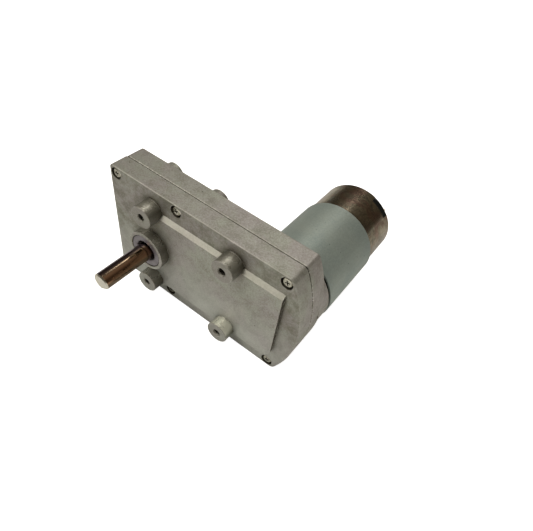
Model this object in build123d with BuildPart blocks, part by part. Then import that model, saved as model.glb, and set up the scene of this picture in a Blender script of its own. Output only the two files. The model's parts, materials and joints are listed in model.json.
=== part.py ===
from build123d import *
from build123d.topology import SkipClean
import os
from math import acos, atan2, cos, hypot, pi, radians, sin, sqrt, tan

# A brushed DC motor on a flat spur gearbox. The origin is on the output shaft's
# axis, in the plane of the four mounting faces. +Y runs back towards the motor,
# +X along the gearbox towards the motor's end, +Z up. Millimetres throughout.

# ---- gearbox castings: outline in X and Z ----
box_left = -24.9
box_right = 76.5
box_half_height = 30.0
end_arc_radius = 63.5
wall = 2.5
cover_corner = 1.6
housing_corner = 2.2
cover_end_corner = 3.0
housing_end_corner = 1.7
room_corner = 4.0
edge_round = 0.5
seam_chamfer = 0.45

# ---- gearbox castings: levels along Y, front to back ----
collar_face = 0.9
plateau_face = 5.5
cover_face = 7.3
cover_floor = 9.8
seam = 16.2
housing_floor = 22.4
housing_back = 24.9
seat_pocket_floor = 26.6
seat_face = 30.0

# ---- raised plateau on the cover ----
plateau_left = -3.5
plateau_top = 20.5
plateau_right = 67.2
plateau_bottom = -21.6
plateau_cut = 6.0
plateau_slope = 1.5

# ---- mounting bosses, tapped M4 ----
boss_span_x = 42.6
boss_span_z = 40.4
boss_radius = 5.2
boss_chamfer = 0.25
tapped_radius = 1.65
tapped_mouth = 2.1
tapped_depth = 7.4
rear_boss_x = (-9.5, 16.5)
rear_boss_z = 21.6
rear_boss_radius = 5.1
rear_tapped_depth = 6.0

# ---- bearing collar and bushes ----
collar_radius = 9.6
collar_chamfer = 0.2
bush_radius = 8.0
front_bush_face = 1.15
front_bush_back = 9.6
bush_chamfer = 0.35
bore_chamfer = 0.25
rear_hub_radius = 8.5
rear_hub_face = 18.5
rear_bush_radius = 6.0
rear_bush_face = 18.7
rear_bush_back = 23.5
running_gap = 0.03
fine_chamfer = 0.2

# ---- cover screws, M2.5 pan head ----
screw_places = ((-21.2, 26.7), (12.5, 26.7), (66.4, 26.7), (-21.2, -26.7), (8.0, -25.8), (65.7, -26.7))
screw_recess_radius = 2.8
screw_recess_floor = 9.3
screw_head_radius = 2.3
screw_head_face = 7.65
screw_shank_radius = 1.25
screw_tip = 21.3
screw_column_radius = 3.3
screw_hole_gap = 0.15
screw_head_round = 0.7
cross_length, cross_width, cross_depth, cross_turn = 2.4, 0.5, 0.9, 20

# ---- output shaft ----
shaft_radius = 4.0
shaft_tip = -23.3
shaft_chamfer = 0.5
flat_depth = 1.0
flat_angle = -57.0
flat_end = -3.0
journal_radius = 5.0
journal_face = 3.6
gear_seat_radius = 4.2
gear_seat_across = 6.8
rear_journal_radius = 3.0
rear_journal_end = 23.3

# ---- gear train: each pair shares a module; pinions are shifted out, wheels in ----
pressure_angle = radians(20)
pinion_shift = 0.4
flank_gap = 0.035
pinion_teeth = 12
output_teeth, output_module = 48, 0.8
second_teeth, second_module = 50, 0.6
first_teeth, first_module = 56, 0.5
second_gear_angle = radians(-10)

output_gear_front, output_gear_back, output_hub_back = 10.3, 15.3, 17.7
second_pinion_front, second_wheel_front, second_wheel_back = 10.3, 15.8, 18.3
first_pinion_front, first_wheel_front, first_wheel_back = 15.5, 18.9, 21.4
motor_pinion_front, motor_pinion_back = 18.5, 22.2
first_pin_radius, second_pin_radius = 1.5, 2.0
pin_hole_depth = 3.0
rear_pin_hole_end = 24.0
pin_end_gap = 0.1
pin_pad_radius, pin_pad_height = 3.6, 1.4
second_neck, second_neck_back, second_wheel_hub_back = 3.6, 20.4, 18.7
first_neck, first_neck_back, first_wheel_hub_back = 2.7, 22.1, 21.9
motor_pinion_neck = 2.0
wheel_hub_wall = 1.6
lightening_holes, lightening_radius = 5, 1.9
output_hub_radius = 7.0
web_outer, web_inner, web_depth = 16.0, 9.0, 1.0
end_play = 0.05
washer_bore_gap = 0.1
front_washer_radius, front_washer_face = 7.5, 9.85
rear_washer_radius = 5.6
spacer_radius, spacer_face = 2.8, 9.9
cluster_washer_radii = (4.0, 3.5)
cluster_washer_thicknesses = (0.3, 0.4)
rear_cluster_washer_back = 20.9

# ---- motor ----
motor_x = 57.8
can_radius = 18.45
can_wall = 0.9
can_plate = 1.0
can_end = 87.5
can_edge = 2.0
motor_boss_radius = 6.0
motor_boss_face = 25.6
motor_boss_bore = 2.4
motor_boss_plate = 0.9
motor_screw_spacing = 25.0
motor_screw_radius, motor_screw_hole_radius = 1.5, 1.6
motor_screw_head_radius, motor_screw_head_height, motor_screw_round = 2.7, 1.7, 0.8
motor_screw_length = 4.9
seat_radius = 19.0
seat_wall = 2.6
ring_radius = 19.4
ring_front = 31.2
ring_back = 66.9
ring_chamfer = 0.15
ring_slit, ring_slit_angle = 0.4, -125
rim_notch_angle = 54.0
rim_notch_width = 10.0
rim_notch_front = 84.2
rim_key_depth = 3.0
rotor_shaft_radius = 1.5875
rotor_shaft_front = 17.9
rotor_shaft_back = 88.3
motor_bush_radius, motor_bush_back = 5.0, 31.5
magnet_inner, magnet_outer = 13.6, 17.5
magnet_front, magnet_back = 38.0, 72.0
magnet_gap = 9.4
clip_thickness, clip_leg_width, clip_leg_depth, clip_leg_span = 0.7, 3.0, 0.6, 30.4
core_radius = 12.9
core_front, core_back = 42.0, 67.0
core_poles = 5
pole_width = 4.0
pole_tip = 10.5
core_hub_radius = 4.6
pole_slot = 2.2
insulator_thickness, insulator_inset = 0.8, 0.3
coil_inner, coil_outer, coil_inner_half, coil_outer_half = 5.8, 10.2, 4.0, 6.2
coil_steps = ((0.0, 2.4), (0.8, 3.4))
spacer_front, rotor_spacer_radius = 31.9, 2.9
commutator_radius = 4.3
commutator_front, commutator_back = 73.0, 80.0
commutator_core_radius, commutator_flange_radius, commutator_flange, bar_slit = 3.5, 5.0, 1.0, 0.5
brush_gap = 0.04
brush_width, brush_height, brush_front, brush_back = 3.6, 4.4, 74.4, 78.4
arm_thickness = 0.35
arm_reach = 11.4
terminal_width, terminal_thickness = 3.0, 0.5
terminal_back = 92.0
lug_hole_radius, lug_hole_inset = 0.7, 2.2
cap_front, cap_floor, cap_back = 79.0, 83.6, 87.0
cap_hub_radius = 5.2
cap_hub_back = 89.8
cap_hub_front = 81.4
cap_wall, cap_gap = 1.4, 0.02
cap_hub_round = 0.8
rear_motor_bush_radius, rear_motor_bush_front, rear_motor_bush_back = 3.2, 81.6, 87.6
cap_bore_end = 88.6


def level(y):
    """The plane square to the shafts at depth y: local x is X, local y is Z, forward is -Y."""
    return Plane.XZ.offset(-y)


def turning_plane(x, z=0.0):
    """A half-section plane through the axis at (x, z): local x is radius, local y is depth Y."""
    return Plane(origin=(x, 0, z), x_dir=(1, 0, 0), z_dir=(0, 0, 1))


def shaft_axis(x, z=0.0):
    """The line along Y through (x, z)."""
    return Axis((x, 0, z), (0, 1, 0))


def polar(radius, angle):
    """A point at a radius and an angle in radians."""
    return (radius * cos(angle), radius * sin(angle))


def third_corner(start, from_start, end, from_end):
    """The upper point at given distances from two others."""
    span = hypot(end[0] - start[0], end[1] - start[1])
    along = (from_start**2 - from_end**2 + span**2) / (2 * span)
    rise = sqrt(from_start**2 - along**2)
    turn = atan2(end[1] - start[1], end[0] - start[0])
    return (
        start[0] + along * cos(turn) - rise * sin(turn),
        start[1] + along * sin(turn) + rise * cos(turn),
    )


def centre_distance(teeth, module):
    """Distance between a wheel and the pinion that drives it."""
    return module * (teeth + pinion_teeth) / 2


output_centre = (0.0, 0.0)
motor_centre = (motor_x, 0.0)
second_centre = polar(centre_distance(output_teeth, output_module), second_gear_angle)
first_centre = third_corner(
    second_centre,
    centre_distance(second_teeth, second_module),
    motor_centre,
    centre_distance(first_teeth, first_module),
)


def meshing_turn(centre, teeth, turn, next_centre, next_teeth):
    """The turn that puts the next gear's gap on this gear's tooth, where the two meet."""
    line = atan2(next_centre[1] - centre[1], next_centre[0] - centre[0])
    offset_in_teeth = (line - turn) * teeth / (2 * pi)
    return line + pi + (offset_in_teeth + 0.5) * 2 * pi / next_teeth


def gear_face(teeth, module, shift, turn=0.0):
    """A spur gear's outline with involute flanks, its first tooth at the angle turn."""
    pitch_radius = module * teeth / 2
    base_radius = pitch_radius * cos(pressure_angle)
    tip_radius = pitch_radius + module * (1 + shift)
    root_radius = pitch_radius - module * (1.25 - shift)
    involute_start = max(base_radius, root_radius)
    half_tooth = pi / (2 * teeth) + 2 * shift * tan(pressure_angle) / teeth - flank_gap / pitch_radius
    base_half = half_tooth + tan(pressure_angle) - pressure_angle

    def half_angle(radius):
        roll = acos(min(1.0, base_radius / radius))
        return base_half - (tan(roll) - roll)

    steps = 5
    radii = [involute_start + (tip_radius - involute_start) * i / steps for i in range(steps + 1)]
    with BuildSketch() as outline:
        with BuildLine():
            for tooth in range(teeth):
                middle = turn + 2 * pi * tooth / teeth
                rising = [polar(r, middle - half_angle(r)) for r in radii]
                falling = [polar(r, middle + half_angle(r)) for r in reversed(radii)]
                foot_start = polar(root_radius, middle - half_angle(involute_start))
                foot_end = polar(root_radius, middle + half_angle(involute_start))
                next_foot = polar(root_radius, middle + 2 * pi / teeth - half_angle(involute_start))
                if root_radius < involute_start:
                    Line(foot_start, rising[0])
                    Line(falling[-1], foot_end)
                Spline(*rising)
                ThreePointArc(rising[-1], polar(tip_radius, middle), falling[0])
                Spline(*falling)
                ThreePointArc(foot_end, polar(root_radius, middle + pi / teeth), next_foot)
        make_face()
    return outline.sketch


def casting_outline(left_corner, right_corner):
    """The gearbox seen from the front: square at the left, a shallow arc at the motor's end."""
    arc_start = box_right - end_arc_radius + sqrt(end_arc_radius**2 - box_half_height**2)
    with BuildSketch() as outline:
        with BuildLine():
            Polyline(
                (arc_start, box_half_height),
                (box_left, box_half_height),
                (box_left, -box_half_height),
                (arc_start, -box_half_height),
            )
            ThreePointArc((arc_start, -box_half_height), (box_right, 0), (arc_start, box_half_height))
        make_face()
        corners = outline.vertices().sort_by(Axis.X)
        fillet(corners[:2], left_corner)
        fillet(outline.vertices().sort_by(Axis.X)[-2:], right_corner)
    return outline.sketch


def cavity_outline():
    """The room inside a casting: its outline less the wall and the screw columns."""
    with BuildSketch() as room:
        add(casting_outline(room_corner, room_corner))
        offset(amount=-wall)
        with Locations(*screw_places):
            Circle(screw_column_radius, mode=Mode.SUBTRACT)
    return room.sketch


def plateau_outline():
    """The raised field on the cover, cut away around the lower right screw."""
    with BuildSketch() as field:
        with BuildLine():
            Polyline(
                (plateau_right, plateau_bottom + plateau_cut),
                (plateau_right, plateau_top),
                (plateau_left, plateau_top),
                (plateau_left, plateau_bottom),
                (plateau_right - plateau_cut, plateau_bottom),
            )
            RadiusArc(
                (plateau_right - plateau_cut, plateau_bottom),
                (plateau_right, plateau_bottom + plateau_cut),
                -plateau_cut,
            )
        make_face()
    return field.sketch


def save(piece, name):
    """Label a finished piece and write it under its own name."""
    piece.part.label = name
    export_step(piece.part, f"parts/{name}.step")


os.makedirs("parts", exist_ok=True)

mount_centre = (boss_span_x / 2, 0)
pin_front = cover_floor - pin_hole_depth + pin_end_gap
pin_back = rear_pin_hole_end - pin_end_gap
seat_bore_radius = motor_boss_radius + 0.05

# ---- gearbox castings ----
with BuildPart() as front_cover:
    with BuildSketch(level(seam)):
        add(casting_outline(cover_corner, cover_end_corner))
    extrude(amount=seam - cover_face)
    fillet(front_cover.faces().sort_by(Axis.Y)[0].outer_wire().edges(), edge_round)
    chamfer(front_cover.faces().sort_by(Axis.Y)[-1].outer_wire().edges(), seam_chamfer)
    with BuildSketch(level(cover_face)):
        add(plateau_outline())
    extrude(amount=cover_face - plateau_face)
    # its upper side slopes back to the cover
    with BuildSketch(Plane.YZ.offset(plateau_left)):
        Polygon(
            (cover_face, plateau_top),
            (plateau_face, plateau_top),
            (plateau_face, plateau_top - plateau_slope),
            align=None,
        )
    extrude(amount=plateau_right - plateau_left, mode=Mode.SUBTRACT)
    with BuildSketch(level(cover_face)):
        with Locations(mount_centre):
            with GridLocations(boss_span_x, boss_span_z, 2, 2):
                Circle(boss_radius)
    extrude(amount=cover_face)
    with BuildSketch(level(cover_face)):
        Circle(collar_radius)
    extrude(amount=cover_face - collar_face)
    collar_rim = front_cover.edges().filter_by(GeomType.CIRCLE)
    collar_rim = collar_rim.filter_by(lambda e: abs(e.center().Y - collar_face) < 0.01)
    chamfer(collar_rim, collar_chamfer)
    # room for the gears
    with BuildSketch(level(seam)):
        add(cavity_outline())
    extrude(amount=seam - cover_floor, mode=Mode.SUBTRACT)
    # bearing bore, tapped bosses, screw holes with their recesses, and pin holes
    with BuildSketch(level(cover_floor)):
        Circle(bush_radius)
    extrude(amount=cover_floor - collar_face, mode=Mode.SUBTRACT)
    with BuildSketch(level(tapped_depth)):
        with Locations(mount_centre):
            with GridLocations(boss_span_x, boss_span_z, 2, 2):
                Circle(tapped_radius)
    extrude(amount=tapped_depth, mode=Mode.SUBTRACT)
    with BuildSketch(level(screw_recess_floor)):
        with Locations(*screw_places):
            Circle(screw_recess_radius)
    extrude(amount=screw_recess_floor, mode=Mode.SUBTRACT)
    with BuildSketch(level(seam)):
        with Locations(*screw_places):
            Circle(screw_shank_radius + screw_hole_gap)
    extrude(amount=seam - screw_recess_floor, mode=Mode.SUBTRACT)
    with BuildSketch(level(cover_floor)):
        with Locations(first_centre):
            Circle(first_pin_radius)
        with Locations(second_centre):
            Circle(second_pin_radius)
    extrude(amount=pin_hole_depth, mode=Mode.SUBTRACT)
    tapped_rims = front_cover.edges().filter_by(GeomType.CIRCLE)
    tapped_rims = tapped_rims.filter_by(lambda e: abs(e.radius - tapped_radius) < 0.01)
    chamfer(tapped_rims.filter_by(lambda e: e.center().Y < 1), tapped_mouth - tapped_radius)
    boss_rims = front_cover.edges().filter_by(GeomType.CIRCLE)
    boss_rims = boss_rims.filter_by(lambda e: abs(e.radius - boss_radius) < 0.01)
    chamfer(boss_rims.filter_by(lambda e: e.center().Y < 1), boss_chamfer)
    bore_rims = front_cover.edges().filter_by(GeomType.CIRCLE)
    bore_rims = bore_rims.filter_by(lambda e: abs(e.center().Y - collar_face) < 0.01)
    chamfer(bore_rims, bore_chamfer)
save(front_cover, "front_cover")

with BuildPart() as rear_housing:
    with BuildSketch(level(housing_back)):
        add(casting_outline(housing_corner, housing_end_corner))
    extrude(amount=housing_back - seam)
    fillet(rear_housing.faces().sort_by(Axis.Y)[-1].outer_wire().edges(), edge_round)
    chamfer(rear_housing.faces().sort_by(Axis.Y)[0].outer_wire().edges(), seam_chamfer)
    with BuildSketch(level(seat_face)):
        with Locations(motor_centre):
            Circle(seat_radius)
        with Locations(*[(x, z) for x in rear_boss_x for z in (rear_boss_z, -rear_boss_z)]):
            Circle(rear_boss_radius)
    extrude(amount=seat_face - housing_floor)
    with BuildSketch(level(housing_floor)):
        add(cavity_outline())
    extrude(amount=housing_floor - seam, mode=Mode.SUBTRACT)
    # the shaft hub and the second pin's pad stand up inside the room
    with BuildSketch(level(housing_back)):
        Circle(rear_hub_radius)
    extrude(amount=housing_back - rear_hub_face)
    with BuildSketch(level(housing_floor)):
        with Locations(second_centre):
            Circle(pin_pad_radius)
    extrude(amount=pin_pad_height)
    # a pocket behind the motor's face leaves a pad for the first pin
    with BuildSketch(level(seat_pocket_floor)):
        with Locations(motor_centre):
            Circle(seat_radius - seat_wall)
        with Locations(first_centre):
            Circle(pin_pad_radius, mode=Mode.SUBTRACT)
    extrude(amount=seat_pocket_floor - housing_floor, mode=Mode.SUBTRACT)
    with BuildSketch(level(seat_face)):
        with Locations(motor_centre):
            Circle(seat_bore_radius)
    extrude(amount=seat_face - seat_pocket_floor, mode=Mode.SUBTRACT)
    with BuildSketch(level(seat_face)):
        with Locations(motor_centre):
            with GridLocations(1, motor_screw_spacing, 1, 2):
                Circle(motor_screw_hole_radius)
    extrude(amount=seat_face - seat_pocket_floor, mode=Mode.SUBTRACT)
    with BuildSketch(level(rear_bush_back)):
        Circle(rear_bush_radius)
    extrude(amount=rear_bush_back - rear_hub_face, mode=Mode.SUBTRACT)
    with BuildSketch(level(seat_face)):
        with Locations(*[(x, z) for x in rear_boss_x for z in (rear_boss_z, -rear_boss_z)]):
            Circle(tapped_radius)
    extrude(amount=rear_tapped_depth, mode=Mode.SUBTRACT)
    with BuildSketch(level(housing_floor)):
        with Locations(*screw_places):
            Circle(screw_shank_radius)
    extrude(amount=housing_floor - seam, mode=Mode.SUBTRACT)
    with BuildSketch(level(rear_pin_hole_end)):
        with Locations(second_centre):
            Circle(second_pin_radius)
        with Locations(first_centre):
            Circle(first_pin_radius)
    extrude(amount=pin_hole_depth, mode=Mode.SUBTRACT)
save(rear_housing, "rear_housing")

# ---- cover screws: domed pan heads with a cross recess ----
with BuildPart() as cover_screws:
    with BuildSketch(level(screw_recess_floor)):
        with Locations(*screw_places):
            Circle(screw_head_radius)
    extrude(amount=screw_recess_floor - screw_head_face)
    fillet(cover_screws.edges().group_by(Axis.Y)[0], screw_head_round)
    with BuildSketch(level(screw_tip)):
        with Locations(*screw_places):
            Circle(screw_shank_radius)
    extrude(amount=screw_tip - screw_recess_floor)
    chamfer(cover_screws.edges().group_by(Axis.Y)[-1], 0.3)
    with BuildSketch(level(screw_head_face + cross_depth)):
        with Locations(*screw_places):
            Rectangle(cross_length, cross_width, rotation=cross_turn)
            Rectangle(cross_width, cross_length, rotation=cross_turn)
    extrude(amount=cross_depth, mode=Mode.SUBTRACT)
save(cover_screws, "cover_screws")

# ---- output shaft group ----
with BuildPart() as output_shaft:
    # the free end, with one flat milled from the tip for the driven part
    with BuildSketch(turning_plane(0)):
        with BuildLine():
            Polyline(
                (0, shaft_tip),
                (shaft_radius - shaft_chamfer, shaft_tip),
                (shaft_radius, shaft_tip + shaft_chamfer),
                (shaft_radius, flat_end),
                (0, flat_end),
                close=True,
            )
        make_face()
    revolve(axis=shaft_axis(0))
    with BuildSketch(level(flat_end)):
        with PolarLocations(shaft_radius - flat_depth, 1, start_angle=flat_angle):
            Rectangle(3 * shaft_radius, 3 * shaft_radius, align=(Align.MIN, Align.CENTER))
    extrude(amount=flat_end - shaft_tip, mode=Mode.SUBTRACT)
    # the journals and the gear's seat; the round face behind the flat stays a face of its own
    with BuildSketch(turning_plane(0)):
        with BuildLine():
            Polyline(
                (0, flat_end),
                (shaft_radius, flat_end),
                (shaft_radius, journal_face),
                (journal_radius, journal_face),
                (journal_radius, output_gear_front),
                (gear_seat_radius, output_gear_front),
                (gear_seat_radius, output_hub_back),
                (rear_journal_radius, output_hub_back),
                (rear_journal_radius, rear_journal_end),
                (0, rear_journal_end),
                close=True,
            )
        make_face()
    with SkipClean():
        revolve(axis=shaft_axis(0))
    # two flats that drive through the gear
    with BuildSketch(level(output_hub_back)):
        Circle(2 * gear_seat_radius)
        Rectangle(4 * gear_seat_radius, gear_seat_across, mode=Mode.SUBTRACT)
    with SkipClean():
        extrude(amount=output_hub_back - output_gear_front, mode=Mode.SUBTRACT)
save(output_shaft, "output_shaft")

with BuildPart() as output_gear:
    with BuildSketch(level(output_gear_back)):
        add(gear_face(output_teeth, output_module, -pinion_shift))
    extrude(amount=output_gear_back - output_gear_front)
    with BuildSketch(level(output_hub_back)):
        Circle(output_hub_radius)
    extrude(amount=output_hub_back - output_gear_back)
    # a turned web on both sides saves weight
    for web_back in (output_gear_front + web_depth, output_gear_back):
        with BuildSketch(level(web_back)):
            Circle(web_outer)
            Circle(web_inner, mode=Mode.SUBTRACT)
        extrude(amount=web_depth, mode=Mode.SUBTRACT)
    with BuildSketch(level(output_hub_back)):
        Circle(gear_seat_radius)
        with GridLocations(1, gear_seat_across + gear_seat_radius, 1, 2):
            Rectangle(3 * gear_seat_radius, gear_seat_radius, mode=Mode.SUBTRACT)
    extrude(amount=output_hub_back - output_gear_front, mode=Mode.SUBTRACT)
save(output_gear, "output_gear")


def ring_part(centre, outer, inner, front, back, edge=0.0):
    """A plain ring square to the shafts, its rims broken by edge where it is given."""
    with BuildPart() as ring:
        with BuildSketch(level(back)):
            with Locations(centre):
                Circle(outer)
                Circle(inner, mode=Mode.SUBTRACT)
        extrude(amount=back - front)
        if edge:
            chamfer(ring.edges().filter_by(GeomType.CIRCLE), edge)
    return ring


def pin_part(centre, radius, front, back):
    """A ground pin with broken ends."""
    with BuildPart() as pin:
        with BuildSketch(level(back)):
            with Locations(centre):
                Circle(radius)
        extrude(amount=back - front)
        chamfer(pin.edges().filter_by(GeomType.CIRCLE), fine_chamfer)
    return pin


def wheel_part(centre, teeth, module, turn, front, back, bore, hub_back):
    """A spur wheel with a thin hub, bored to press over its pinion."""
    with BuildPart() as wheel:
        with BuildSketch(level(back)):
            with Locations(centre):
                add(gear_face(teeth, module, -pinion_shift, turn))
        extrude(amount=back - front)
        with BuildSketch(level(hub_back)):
            with Locations(centre):
                Circle(bore + wheel_hub_wall)
        extrude(amount=hub_back - back)
        with BuildSketch(level(hub_back)):
            with Locations(centre):
                Circle(bore)
        extrude(amount=hub_back - front, mode=Mode.SUBTRACT)
        # lightening holes between hub and teeth
        with BuildSketch(level(back)):
            with Locations(centre):
                with PolarLocations((bore + module * teeth / 2) / 2, lightening_holes):
                    Circle(lightening_radius)
        extrude(amount=back - front, mode=Mode.SUBTRACT)
    return wheel


def pinion_part(centre, module, turn, front, teeth_back, neck, neck_back, bore):
    """A pinion whose plain neck runs on through the wheel that it carries."""
    with BuildPart() as pinion:
        with BuildSketch(level(teeth_back)):
            with Locations(centre):
                add(gear_face(pinion_teeth, module, pinion_shift, turn))
        extrude(amount=teeth_back - front)
        if neck_back > teeth_back:
            with BuildSketch(level(neck_back)):
                with Locations(centre):
                    Circle(neck)
            extrude(amount=neck_back - teeth_back)
        with BuildSketch(level(neck_back)):
            with Locations(centre):
                Circle(bore)
        extrude(amount=neck_back - front, mode=Mode.SUBTRACT)
    return pinion


front_bush = ring_part(
    output_centre,
    bush_radius,
    journal_radius + running_gap,
    front_bush_face,
    front_bush_back,
    bush_chamfer,
)
save(front_bush, "front_bearing_bush")
rear_bush = ring_part(
    output_centre,
    rear_bush_radius,
    rear_journal_radius + running_gap,
    rear_bush_face,
    rear_bush_back,
    fine_chamfer,
)
save(rear_bush, "rear_bearing_bush")
front_washer = ring_part(
    output_centre,
    front_washer_radius,
    journal_radius + washer_bore_gap,
    front_washer_face,
    output_gear_front - end_play,
)
save(front_washer, "front_thrust_washer")
rear_washer = ring_part(
    output_centre,
    rear_washer_radius,
    rear_journal_radius + washer_bore_gap,
    output_hub_back + end_play,
    rear_bush_face - end_play,
)
save(rear_washer, "rear_thrust_washer")

# ---- second gear cluster, which drives the output gear ----
second_pinion_turn = meshing_turn(output_centre, output_teeth, 0.0, second_centre, pinion_teeth)
second_pinion = pinion_part(
    second_centre,
    output_module,
    second_pinion_turn,
    second_pinion_front,
    second_wheel_front,
    second_neck,
    second_neck_back,
    second_pin_radius + running_gap,
)
save(second_pinion, "second_pinion")
second_wheel = wheel_part(
    second_centre,
    second_teeth,
    second_module,
    0.0,
    second_wheel_front,
    second_wheel_back,
    second_neck,
    second_wheel_hub_back,
)
save(second_wheel, "second_wheel")
save(pin_part(second_centre, second_pin_radius, pin_front, pin_back), "second_gear_pin")

# ---- first gear cluster, driven by the motor's pinion ----
first_pinion_turn = meshing_turn(second_centre, second_teeth, 0.0, first_centre, pinion_teeth)
first_pinion = pinion_part(
    first_centre,
    second_module,
    first_pinion_turn,
    first_pinion_front,
    first_wheel_front,
    first_neck,
    first_neck_back,
    first_pin_radius + running_gap,
)
save(first_pinion, "first_pinion")
first_wheel = wheel_part(
    first_centre,
    first_teeth,
    first_module,
    0.0,
    first_wheel_front,
    first_wheel_back,
    first_neck,
    first_wheel_hub_back,
)
save(first_wheel, "first_wheel")
save(pin_part(first_centre, first_pin_radius, pin_front, pin_back), "first_gear_pin")
first_spacer = ring_part(
    first_centre,
    spacer_radius,
    first_pin_radius + end_play,
    spacer_face,
    first_pinion_front - 2 * end_play,
)
save(first_spacer, "first_gear_spacer")

with BuildPart() as gear_washers:
    washer_backs = (second_pinion_front - 2 * end_play, rear_cluster_washer_back)
    for back, radius, thickness in zip(washer_backs, cluster_washer_radii, cluster_washer_thicknesses):
        with BuildSketch(level(back)):
            with Locations(second_centre):
                Circle(radius)
                Circle(second_pin_radius + washer_bore_gap, mode=Mode.SUBTRACT)
        extrude(amount=thickness)
save(gear_washers, "second_gear_washers")

motor_pinion_turn = meshing_turn(first_centre, first_teeth, 0.0, motor_centre, pinion_teeth)
motor_pinion = pinion_part(
    motor_centre,
    first_module,
    motor_pinion_turn,
    motor_pinion_front,
    motor_pinion_back,
    motor_pinion_neck,
    motor_pinion_back,
    rotor_shaft_radius,
)
save(motor_pinion, "motor_pinion")

# ---- motor shell ----
with BuildPart() as motor_can:
    with BuildSketch(turning_plane(motor_x)):
        with BuildLine():
            Polyline(
                (motor_boss_bore, motor_boss_face),
                (motor_boss_radius, motor_boss_face),
                (motor_boss_radius, seat_face),
                (can_radius - can_edge, seat_face),
            )
            RadiusArc((can_radius - can_edge, seat_face), (can_radius, seat_face + can_edge), can_edge)
            Polyline(
                (can_radius, seat_face + can_edge),
                (can_radius, can_end),
                (can_radius - can_wall, can_end),
                (can_radius - can_wall, seat_face + can_edge),
            )
            RadiusArc(
                (can_radius - can_wall, seat_face + can_edge),
                (can_radius - can_edge, seat_face + can_plate),
                -(can_edge - can_plate),
            )
            Polyline(
                (can_radius - can_edge, seat_face + can_plate),
                (motor_bush_radius, seat_face + can_plate),
                (motor_bush_radius, motor_boss_face + motor_boss_plate),
                (motor_boss_bore, motor_boss_face + motor_boss_plate),
                (motor_boss_bore, motor_boss_face),
            )
        make_face()
    revolve(axis=shaft_axis(motor_x))
    with BuildSketch(level(seat_face + can_plate)):
        with Locations(motor_centre):
            with GridLocations(1, motor_screw_spacing, 1, 2):
                Circle(motor_screw_radius)
    extrude(amount=can_plate, mode=Mode.SUBTRACT)
    # two notches in the rear rim take the end cap's keys
    with BuildSketch(level(can_end)):
        with Locations(motor_centre):
            with PolarLocations(can_radius, 2, start_angle=rim_notch_angle):
                Rectangle(4.0, rim_notch_width)
    extrude(amount=can_end - rim_notch_front, mode=Mode.SUBTRACT)
save(motor_can, "motor_can")

with BuildPart() as flux_ring:
    with BuildSketch(level(ring_back)):
        with Locations(motor_centre):
            Circle(ring_radius)
            Circle(can_radius, mode=Mode.SUBTRACT)
            # the ring is rolled from sheet, and its ends meet underneath with a slit
            with PolarLocations(ring_radius, 1, start_angle=ring_slit_angle):
                Rectangle(4.0, ring_slit, mode=Mode.SUBTRACT)
    extrude(amount=ring_back - ring_front)
    chamfer(flux_ring.edges().filter_by(GeomType.CIRCLE), ring_chamfer)
save(flux_ring, "flux_ring")

with BuildPart() as motor_screws:
    with BuildSketch(level(seat_pocket_floor)):
        with Locations(motor_centre):
            with GridLocations(1, motor_screw_spacing, 1, 2):
                Circle(motor_screw_head_radius)
    extrude(amount=motor_screw_head_height)
    fillet(motor_screws.edges().group_by(Axis.Y)[0], motor_screw_round)
    with BuildSketch(level(seat_pocket_floor + motor_screw_length)):
        with Locations(motor_centre):
            with GridLocations(1, motor_screw_spacing, 1, 2):
                Circle(motor_screw_radius)
    extrude(amount=motor_screw_length)
    with BuildSketch(level(seat_pocket_floor - motor_screw_head_height + cross_depth)):
        with Locations(motor_centre):
            with GridLocations(1, motor_screw_spacing, 1, 2):
                Rectangle(cross_length, cross_width)
                Rectangle(cross_width, cross_length)
    extrude(amount=cross_depth, mode=Mode.SUBTRACT)
save(motor_screws, "motor_screws")

front_motor_bush = ring_part(
    motor_centre,
    motor_bush_radius,
    rotor_shaft_radius + running_gap,
    motor_boss_face + motor_boss_plate + end_play,
    motor_bush_back,
    bush_chamfer,
)
save(front_motor_bush, "motor_front_bush")

with BuildPart() as magnets:
    with BuildSketch(level(magnet_back)):
        with Locations(motor_centre):
            Circle(magnet_outer)
            Circle(magnet_inner, mode=Mode.SUBTRACT)
            Rectangle(3 * magnet_outer, magnet_gap, mode=Mode.SUBTRACT)
    extrude(amount=magnet_back - magnet_front)
save(magnets, "magnets")

with BuildPart() as magnet_clips:
    with BuildSketch(level(magnet_back)):
        with Locations(motor_centre):
            Circle(magnet_outer - end_play)
            Circle(magnet_outer - end_play - clip_thickness, mode=Mode.SUBTRACT)
            with GridLocations(1, 2 * magnet_outer + magnet_gap - 2 * end_play, 1, 2):
                Rectangle(4 * magnet_outer, 2 * magnet_outer, mode=Mode.SUBTRACT)
            with GridLocations(clip_leg_span, magnet_gap - clip_leg_depth - 4 * end_play, 2, 2):
                Rectangle(clip_leg_width, clip_leg_depth)
    extrude(amount=magnet_back - magnet_front)
save(magnet_clips, "magnet_clips")

# ---- rotor ----
with BuildPart() as rotor_shaft:
    with BuildSketch(level(rotor_shaft_back)):
        with Locations(motor_centre):
            Circle(rotor_shaft_radius)
    extrude(amount=rotor_shaft_back - rotor_shaft_front)
    chamfer(rotor_shaft.edges().filter_by(GeomType.CIRCLE), 0.3)
save(rotor_shaft, "rotor_shaft")

pole_angle = 360 / core_poles


def lamination_outline(inset):
    """Five T-shaped poles on a hub, drawn about the origin; inset shrinks the outer rim."""
    with BuildSketch() as outline:
        Circle(core_radius - inset)
        Circle(pole_tip, mode=Mode.SUBTRACT)
        with PolarLocations(core_radius, core_poles, start_angle=90 + pole_angle / 2):
            Rectangle(2 * pole_width, pole_slot, mode=Mode.SUBTRACT)
        with PolarLocations(pole_tip / 2 + 0.3, core_poles, start_angle=90):
            Rectangle(pole_tip + 0.6, pole_width)
        Circle(core_hub_radius)
        Circle(rotor_shaft_radius, mode=Mode.SUBTRACT)
    return outline.sketch


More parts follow.
